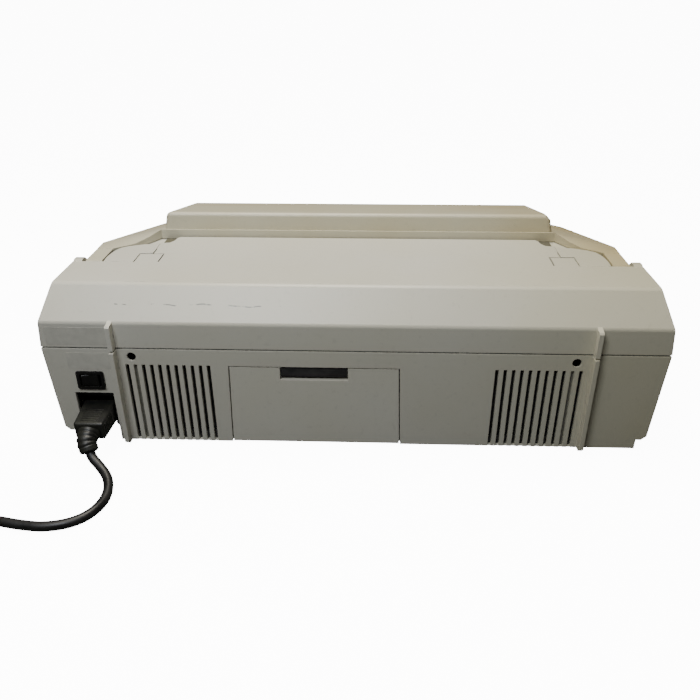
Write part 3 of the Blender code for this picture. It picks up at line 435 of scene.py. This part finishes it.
def round_edges(piece, width, segments, test):
    """Rounds only the edges whose two ends pass a test."""
    mesh = unselected(piece)
    for edge in mesh.edges:
        a, b = (mesh.vertices[i].co for i in edge.vertices)
        if test(a, b):
            edge.select = True
            mesh.vertices[edge.vertices[0]].select = mesh.vertices[edge.vertices[1]].select = True
    bpy.context.scene.tool_settings.mesh_select_mode = (False, True, False)
    bpy.ops.object.mode_set(mode="EDIT")
    bpy.ops.mesh.bevel(offset=width * MM, segments=segments, affect="EDGES", clamp_overlap=True)
    bpy.ops.object.mode_set(mode="OBJECT")


def near(a, b, height, depth):
    """True where both points lie on a line across the printer at this height and depth."""
    line = at(0, depth, height)
    return all(abs(p.z - line.z) < NEAR and abs(p.y - line.y) < NEAR for p in (a, b))


def moulded(node, look, width=0.6, segments=3, angle=25, first=None):
    """Stands for a CAD node: a merged copy of it with its edges rounded as moulded or folded."""
    source = frame["nodes"][node]
    piece = source.copy()
    piece.data = source.data.copy()
    piece.name = piece.data.name = f"{node}_finished"
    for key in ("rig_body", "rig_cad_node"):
        if key in piece:
            del piece[key]
    piece.parent = None
    bpy.context.scene.collection.objects.link(piece)
    only(piece)
    bpy.ops.mesh.customdata_custom_splitnormals_clear()
    bpy.ops.object.mode_set(mode="EDIT")
    bpy.ops.mesh.select_all(action="SELECT")
    bpy.ops.mesh.remove_doubles(threshold=0.00001)
    bpy.ops.mesh.dissolve_limited(angle_limit=math.radians(0.4))
    bpy.ops.object.mode_set(mode="OBJECT")
    if first:
        first(piece)
    if width:
        apply_modifier(piece, "BEVEL", width=width * MM, segments=segments, limit_method="ANGLE",
                       angle_limit=math.radians(angle), use_clamp_overlap=True, miter_outer="MITER_ARC")
    only(piece)
    bpy.ops.object.shade_smooth_by_angle(angle=math.radians(32))
    apply_modifier(piece, "WEIGHTED_NORMAL", keep_sharp=True, weight=80)
    return keep(piece, look, body_of[node], slot_of[node], node)


# ---------------------------------------------------------------- camera and mains lead

def add_camera():
    """The camera, fitted to see the printer from behind and above."""
    lens = bpy.data.cameras.new("view")
    lens.lens = 36.2
    lens.sensor_width = 36.0
    lens.clip_start = 0.01
    camera = bpy.data.objects.new("view", lens)
    bpy.context.scene.collection.objects.link(camera)
    yaw, tilt, roll = (Matrix.Rotation(math.radians(angle), 4, axis) for angle, axis in CAMERA_TURNS)
    camera.matrix_world = Matrix.Translation(Vector(CAMERA_PLACE)) @ (yaw @ tilt @ roll)
    bpy.context.scene.camera = camera


def smooth(points, per):
    """Even points along a smooth curve through given route points."""
    route = [Vector(p) for p in points]
    found = []
    for i in range(len(route) - 1):
        before = route[max(i - 1, 0)]
        after = route[min(i + 2, len(route) - 1)]
        a, b = route[i], route[i + 1]
        span = (b - a).length
        out = (b - before).normalized() * span / 3
        back = (after - a).normalized() * span / 3
        found += interpolate_bezier(a, a + out, b - back, b, per + 1)[:-1]
    return found + [route[-1]]


def tube(name, points, radii, sides=4):
    """A round tube along world points, as a curve with a radius at each point, in millimetres."""
    curve = bpy.data.curves.new(name, "CURVE")
    curve.dimensions = "3D"
    curve.bevel_depth = MM
    curve.bevel_resolution = sides
    curve.use_fill_caps = True
    line = curve.splines.new("POLY")
    line.points.add(len(points) - 1)
    for spot, p, r in zip(line.points, points, radii):
        spot.co = (*p, 1)
        spot.radius = r
    piece = bpy.data.objects.new(name, curve)
    bpy.context.scene.collection.objects.link(piece)
    return piece


def coil_points():
    """Six turns: three side by side on the floor, then three on top of them."""
    points = []
    turns, per = 6, 40
    columns = [COIL_R + CORD_D, COIL_R, COIL_R - CORD_D, COIL_R - CORD_D, COIL_R, COIL_R + CORD_D]
    for i in range(turns * per + 1):
        turn = i / per
        k = min(int(turn), turns - 1)
        share = turn - k
        blend = min(1.0, max(0.0, (share - 0.80) / 0.20))
        blend = blend * blend * (3 - 2 * blend)
        after = columns[min(k + 1, turns - 1)]
        radius = columns[k] + (after - columns[k]) * blend
        layer = 0.0 if k < 2 else 1.0
        if k == 2:
            layer = blend
        angle = math.pi / 2 - 2 * math.pi * turn
        points.append((COIL_X + radius * math.cos(angle), COIL_DEPTH + radius * math.sin(angle),
                       FLOOR_LINE + CORD_D * layer))
    return points


def build_lead():
    """The mains lead as one length: out of its relief, over the floor, round the coil and into its plug."""
    join = COIL_DEPTH + COIL_R + CORD_D
    route = [(194.6, -35.2, 20.2), RELIEF_END, (189.0, -42.2, 11.8), (183.6, -46.2, 8.6),
             (177.0, -53.0, 5.2), (172.9, -62.4, 2.9), (172.0, -73.0, FLOOR_LINE),
             (174.6, -84.5, FLOOR_LINE), (180.6, -93.2, FLOOR_LINE), (190.6, -99.4, FLOOR_LINE),
             (204.0, -102.3, FLOOR_LINE), (214.0, -101.8, FLOOR_LINE), (224.3, -100.4, FLOOR_LINE),
             (235.4, -98.2, FLOOR_LINE), (247.0, join - 0.6, FLOOR_LINE), (258.0, join, FLOOR_LINE),
             (272.0, join, FLOOR_LINE), (288.0, join, FLOOR_LINE)]
    high = FLOOR_LINE + CORD_D
    tail = [(COIL_X + 10.0, join, high), (COIL_X + 19.0, join + 1.6, high - 1.2),
            (COIL_X + 27.0, join + 7.0, high - 3.2), (PLUG_X - 1.6, join + 16.0, FLOOR_LINE + 2.2),
            (PLUG_X, join + 28.0, FLOOR_LINE + 1.0), (PLUG_X, -59.0, FLOOR_LINE + 1.0)]
    line = smooth(route, 4)[:-1] + [Vector(p) for p in coil_points()] + smooth(tail, 6)
    points = [at(*p) for p in line]
    lead = tube("power_cord_whole", points, [CORD_D / 2] * len(points), 4)
    length = sum((b - a).length for a, b in zip(points, points[1:]))
    keep(lead, CORD_PVC, "case", "black_rubber", "power_cord", "power_cord_coil")

    start = (195.4, TIP - 0.4, 25.8)
    path = smooth([start, (195.4, -34.0, 22.0), (192.6, -38.6, 15.6)], 14)
    radii = []
    for i in range(len(path)):
        share = i / (len(path) - 1)
        groove = 0.5 if 0.15 < share < 0.75 and i % 5 in (0, 1) else 0.0
        radii.append(RELIEF_R - RELIEF_TAPER * share - groove)
    radii[-1] -= 1.6
    radii[-2] -= 0.5
    relief = tube("grooved_strain_relief", [at(*p) for p in path], radii, 6)
    only(relief)
    bpy.ops.object.convert(target="MESH")
    soften(relief, 0.25, 1, 40)
    keep(relief, PLUG_PVC, "case", "black_rubber", "strain_relief")
    return lead, relief, length, points[0]


def build_connector():
    """The appliance connector: a tapered moulding, flat on top, with finger ribs at both sides."""
    piece = block("appliance_connector", 185.7, 210.3, TIP, 7.7, 15.0, 32.8)
    pick(piece, lambda c, n: n.y > 0.9)
    middle = at(198.0, TIP, 32.8)
    bpy.ops.transform.resize(value=(0.92, 1, 0.80), center_override=middle)
    bpy.ops.transform.translate(value=Vector((-2.2, 0, 0)) * MM)
    done()
    apply_modifier(piece, "BEVEL", width=2.0 * MM, segments=4, limit_method="ANGLE",
                   angle_limit=math.radians(40), use_clamp_overlap=True)
    ribs = []
    for i in range(6):
        depth = -7.5 - 2.9 * i
        share = (3.0 - depth) / (3.0 - TIP)
        left, right = 210.3 - 3.2 * share, 185.7 - 1.2 * share
        bottom = 32.8 - (17.8 * (1 - 0.20 * share))
        for name, x0, x1 in (("left", left - 1.2, left + 0.5), ("right", right - 0.5, right + 1.2)):
            rib = block(f"connector_rib_{name}_{i}", x0, x1, depth - 0.7, depth + 0.7, bottom + 3.0, 30.6)
            soften(rib, 0.4, 2)
            ribs.append(rib)
        top = block(f"connector_top_rib_{i}", right + 4.4, left - 4.4, depth - 0.7, depth + 0.7, 31.8, 33.3)
        soften(top, 0.4, 2)
        ribs.append(top)
    piece = joined("appliance_connector", [piece] + ribs)
    only(piece)
    bpy.ops.object.shade_smooth_by_angle(angle=SMOOTH)
    return keep(piece, PLUG_PVC, "case", "black_plastic", "cord_connector")


def build_wall_plug():
    """Moulded three-pin plug beside the coil: a waisted grip, a flat face, two blades and a pin."""
    base = 0.05 - FOOT
    wide, back, face = 13, -56, -29
    piece = block("plug_grip", PLUG_X - wide, PLUG_X + wide, back, face, base, base + 17)
    pick(piece, lambda c, n: n.y > 0.9)
    bpy.ops.transform.resize(value=(0.62, 1, 0.66), center_override=at(PLUG_X, back, base))
    bpy.ops.mesh.extrude_region_move(TRANSFORM_OT_translate={"value": Vector((0, 0.005, 0))})
    bpy.ops.transform.resize(value=(0.72, 1, 0.8), center_override=at(PLUG_X, back - 5, base))
    done()
    apply_modifier(piece, "BEVEL", width=3.0 * MM, segments=4, limit_method="ANGLE",
                   angle_limit=math.radians(30))
    bars = []
    for i in range(5):
        depth = back + 5 + 3.4 * i
        half = wide * (0.66 + 0.34 * (depth - back) / (face - back))
        bar = block(f"plug_bar_{i}", PLUG_X - half - 0.3, PLUG_X + half + 0.3,
                    depth - 0.7, depth + 0.7, base + 5, base + 11)
        soften(bar, 0.5, 2)
        bars.append(bar)
    grip = joined("wall_plug_grip", [piece] + bars)
    only(grip)
    bpy.ops.object.shade_smooth_by_angle(angle=SMOOTH)
    keep(grip, PLUG_PVC, "case", "black_plastic", "wall_plug")
    blades = []
    for name, x in (("left", -6.35), ("right", 6.35)):
        blade = block(f"plug_blade_{name}", PLUG_X + x - 0.8, PLUG_X + x + 0.8,
                      -29.2, -13.0, base + 7.0, base + 13.0)
        soften(blade, 0.4, 2)
        blades.append(blade)
    pin = rod("plug_earth_pin", at(PLUG_X, -29.2, base + 4.2), at(PLUG_X, -11.0, base + 4.2), 2.4, 24)
    soften(pin, 0.8, 3)
    pins = joined("wall_plug_pins", blades + [pin])
    keep(pins, BRASS, "case", "black_plastic")
    return grip, pins


def build_coil_tie():
    """A flat tie round the coil, at its side."""
    x = COIL_X + COIL_R
    piece = block("coil_tie", x - 12.4, x + 12.4, COIL_DEPTH - 3.5, COIL_DEPTH + 3.5,
                  -FOOT + 0.02, CORD_D * 2 - 0.2)
    pick(piece, lambda c, n: abs(n.y) > 0.9)
    bpy.ops.mesh.delete(type="FACE")
    done()
    apply_modifier(piece, "BEVEL", width=3.2 * MM, segments=5, limit_method="ANGLE",
                   angle_limit=math.radians(40))
    apply_modifier(piece, "SOLIDIFY", thickness=0.8 * MM, offset=1.0)
    only(piece)
    bpy.ops.object.shade_smooth_by_angle(angle=SMOOTH)
    return keep(piece, TAPE, "case", "black_rubber")


# ---------------------------------------------------------------- case details

def build_seam_tongue():
    """The lower case's tongue behind the parting groove: it keeps the groove dark and closed."""
    inset = 1.6
    piece = block("parting_tongue", inset - HALF, HALF - inset, inset, BODY_DEPTH - inset,
                  PART_H - 2.0, PART_H + 4.0)
    pick(piece, lambda c, n: abs(n.z) > 0.9)
    bpy.ops.mesh.delete(type="FACE")
    bpy.ops.mesh.select_all(action="SELECT")
    bpy.ops.mesh.bisect(plane_co=at(0, PART_FROM, 0), plane_no=(0, 1, 0))
    done()
    front = at(0, BODY_DEPTH - 5, 0).y
    for vertex in piece.data.vertices:
        if vertex.co.y < front:
            vertex.co.z -= (PART_H - FRONT_PART_H) * MM
    apply_modifier(piece, "SOLIDIFY", thickness=1.1 * MM, offset=-1.0)
    return keep(piece, DARK_ABS, "case", "putty_shell")


def build_vent_shade_and_sills():
    """Dark shields behind the two banks of slots, with a dark tooth in every slot's foot, a sill and a
    darker boss. The shields, the teeth and the boss's grey are painted shade for the shadow inside the
    slots.
    """
    pitch = (SLOT_LAST - SLOT_FIRST) / (SLOTS - 1)
    for name, side in (("left", 1), ("right", -1)):
        x0, x1 = sorted((side * (SLOT_FIRST - 5), side * (SLOT_LAST + 4)))
        piece = block(f"vent_shade_shield_{name}", x0, x1, 5.2, 6.2, 2.7, 72.0)
        pick(piece, lambda c, n: n.y > 0.9)
        bpy.ops.mesh.inset(thickness=1.5 * MM)
        bpy.ops.transform.translate(value=Vector((0, -0.4 * MM, 0)))
        done()
        parts = [piece]
        for i in range(SLOTS):
            x = side * (SLOT_FIRST + pitch * i)
            # Painted shade: a dark tooth covers the lit floor at the foot of each slot.
            parts.append(block(f"vent_shade_tooth_{i}", x - 1.25, x + 1.25, 3.05, 5.15, 0.05, 8.0))
        shield = joined(f"vent_shade_shield_{name}", parts)
        soften(shield, 0.15, 1)
        keep(shield, DARK_ABS, "case", "charcoal_plastic")
        x0, x1 = sorted((side * (SLOT_FIRST - 2.4), side * (SLOT_LAST + 2.4)))
        sill = block(f"vent_sill_{name}", x0, x1, 0.35, 2.8, 0.05, 1.3)
        soften(sill, 0.2, 1)
        keep(sill, LOWER_ABS, "case", "putty_shell")
        # A screw boss stands behind the last slot but one. Its putty plastic is painted a darker grey:
        # painted shade for the shadow behind the slots.
        boss = side * (SLOT_LAST - pitch)
        post = block(f"vent_boss_{name}", boss - 1.25, boss + 1.25, 2.6, 4.4, 1.3, SLOT_TOP - 0.4)
        soften(post, 0.2, 1)
        keep(post, SHADED_BOSS_ABS, "case", "charcoal_plastic")


# ---------------------------------------------------------------- which node gets which finish

def round_hood(piece):
    """The long edges over the belt and along the deck are rounder than the rest."""
    round_edges(piece, 2.4, 4, lambda a, b: near(a, b, DECK_H, HOOD_LEAN) and abs(a.x - b.x) > 0.1)
    round_edges(piece, 1.7, 4, lambda a, b: near(a, b, BELT_H, 0) and abs(a.x - b.x) > 0.004)


def round_hump(piece):
    """The rear edge and corners of the cover's raised middle are the roundest of all."""
    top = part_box("access_cover")[1].z
    round_edges(piece, 4.0, 5, lambda a, b: max(a.z, b.z) > top - 0.0003)


def round_bezel(piece):
    """The switch bezel's flange has rounded corners."""
    low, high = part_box("switch_bezel")

    def corner(a, b):
        outer = min(abs(a.x - low.x), abs(a.x - high.x)) + min(abs(a.z - low.z), abs(a.z - high.z))
        return abs(a.x - b.x) + abs(a.z - b.z) < 0.0001 and outer < 0.0002

    round_edges(piece, 1.5, 4, corner)


def build_painted_recess_shade():
    """Dark strips in the deck's recess, at both ends of the cover's rear band: painted shade, standing for
    the shadow the recess lies in.
    """
    for name, side in (("left", 1), ("right", -1)):
        x0, x1 = sorted((side * 140.0, side * 163.2))
        strip = block(f"recess_shade_strip_{name}", x0, x1, 103.9, 123.5, DECK_H - 3.25, DECK_H - 2.0)
        soften(strip, 0.3, 2)
        keep(strip, RECESS_SHADE, "case", "charcoal_plastic")


def build_labels():
    """Two blank label films: one on the belt, one over the switch."""
    for name, x0, x1, h0, h1 in (("belt", 180.6, 226.6, 85.0, 99.5), ("switch", 176.2, 214.0, 64.4, 78.4)):
        film = block(f"{name}_label", x0, x1, -0.12, 0.02, h0, h1)
        soften(film, 0.05, 1)
        keep(film, FILM, "case", "putty_shell")


def finish_nodes():
    """Edges are rounded by 0.3 to 1.4 mm; the hood, raised middle and bezel have rounder ones too."""
    moulded("top_case", CASE_ABS, 0.9, first=round_hood)
    for node, width in (("rear_door", 0.5), ("hinge_cover_left", 0.3), ("hinge_cover_right", 0.3)):
        moulded(node, CASE_ABS, width)
    for node, width in (("bottom_case", 0.5), ("input_tray", 0.8), ("output_tray", 0.6)):
        moulded(node, LOWER_ABS, width)
    moulded("access_cover", COVER_ABS, 1.4, first=round_hump)
    for node in ("panel_key_1", "panel_key_2", "panel_key_3"):
        moulded(node, KEY_ABS, 0.4)
    moulded("power_rocker", ROCKER, 0.5)
    moulded("inlet_socket", BLACK_PBT, 0.4)
    moulded("switch_bezel", BLACK_PBT, 0.4, first=round_bezel)
    for node in ("black_cartridge", "colour_cartridge"):
        moulded(node, BLACK_PBT, 0.6)
    for node in ("door_latch", "data_port", "platen", "exit_guide", "carriage", "service_station",
                 "width_guide", "control_panel"):
        moulded(node, DARK_ABS, 0.4)
    for node in ("foot_1", "foot_2", "foot_3", "foot_4"):
        moulded(node, RUBBER, 0.4, 2)
    for node in ("side_plate_left", "side_plate_right", "carriage_frame", "power_supply"):
        moulded(node, STEEL, 0.3, 2)
    looks = {"feed_drum": RUBBER, "exit_roller": RUBBER, "pinch_roller": RUBBER, "carriage_belt": RUBBER,
             "drum_gear": ACETAL, "rear_idler_gear": ACETAL, "front_idler_gear": ACETAL,
             "feed_pinion": ACETAL, "exit_gear": ACETAL, "drive_pulley": ACETAL, "idler_pulley": ACETAL,
             "rear_screw_left": BLACK_STEEL, "rear_screw_right": BLACK_STEEL, "cover_pin_left": ROD,
             "cover_pin_right": ROD, "guide_rod": ROD, "rear_idler_stud": ROD, "front_idler_stud": ROD,
             "feed_motor": STEEL, "carriage_motor": STEEL, "main_board": MASK, "status_lens_1": LENS,
             "status_lens_2": LENS}
    for node, look in looks.items():
        mesh = frame["nodes"][node].data
        mesh.materials.clear()
        mesh.materials.append(look)


# ---------------------------------------------------------------- floor and light

def build_stage():
    """A pale floor. It looks white, and throws back less light on the printer than white would."""
    bpy.ops.object.select_all(action="DESELECT")
    bpy.ops.mesh.primitive_plane_add(size=40, location=(0, 0, 0))
    floor = bpy.context.object
    floor.name = "floor"
    finish, tree, shader, place = new_finish("pale_paper", 0.9)
    tone = add_node(tree, "ShaderNodeTexNoise", {"Scale": 2.0}, {"Vector": place})
    colour = ramp(tree, tone.outputs["Fac"], [(0.0, linear("F8F8F8")), (1.0, linear("FCFCFC"))])
    tree.links.new(colour, shader.inputs["Base Color"])
    shader.inputs["Emission Color"].default_value = linear("FFFFFF")
    shader.inputs["Emission Strength"].default_value = FLOOR_GLOW
    dull = add_node(tree, "ShaderNodeBsdfDiffuse", {"Color": linear("484846")})
    ray = add_node(tree, "ShaderNodeLightPath")
    blend = add_node(tree, "ShaderNodeMixShader", links={0: ray.outputs["Is Camera Ray"],
                                                         1: dull.outputs["BSDF"],
                                                         2: shader.outputs["BSDF"]})
    tree.links.new(blend.outputs["Shader"], tree.nodes["Material Output"].inputs["Surface"])
    floor.data.materials.append(finish)


def area_light(name, place, target, size, power, tint):
    """A rectangular lamp aimed at a target."""
    lamp = bpy.data.lights.new(name, "AREA")
    lamp.shape = "RECTANGLE"
    lamp.size, lamp.size_y = size
    lamp.energy = power
    lamp.color = linear(tint)[:3]
    light = bpy.data.objects.new(name, lamp)
    light.location = place
    light.rotation_euler = (Vector(target) - Vector(place)).to_track_quat("-Z", "Y").to_euler()
    bpy.context.scene.collection.objects.link(light)


def build_lights():
    """Soft light from above, a little behind the printer, so that its upright walls are in open shade."""
    area_light("overhead", (0.10, 0.03, 1.05), (0.05, 0.03, 0.1), (0.5, 0.4), 12, "FFF8EA")
    area_light("window", (0.22, 0.67, 0.80), (0.06, 0.17, 0.1), (0.35, 0.3), 5.2, "F4F8FF")
    world = bpy.data.worlds.new("studio")
    world.use_nodes = True
    tree = world.node_tree
    fill = tree.nodes["Background"]
    fill.inputs["Color"].default_value = linear("FAFBFC")
    fill.inputs["Strength"].default_value = 0.06
    white = add_node(tree, "ShaderNodeBackground", {"Color": linear("FFFFFF"), "Strength": FLOOR_GLOW})
    ray = add_node(tree, "ShaderNodeLightPath")
    blend = add_node(tree, "ShaderNodeMixShader", links={0: ray.outputs["Is Camera Ray"],
                                                         1: fill.outputs["Background"],
                                                         2: white.outputs["Background"]})
    tree.links.new(blend.outputs["Shader"], tree.nodes["World Output"].inputs["Surface"])
    bpy.context.scene.world = world


add_camera()
lead, relief, lead_length, lead_exit = build_lead()
connector = build_connector()
grip, pins = build_wall_plug()
tie = build_coil_tie()
finish_nodes()
build_seam_tongue()
build_vent_shade_and_sills()
build_painted_recess_shade()
build_labels()
build_stage()
build_lights()
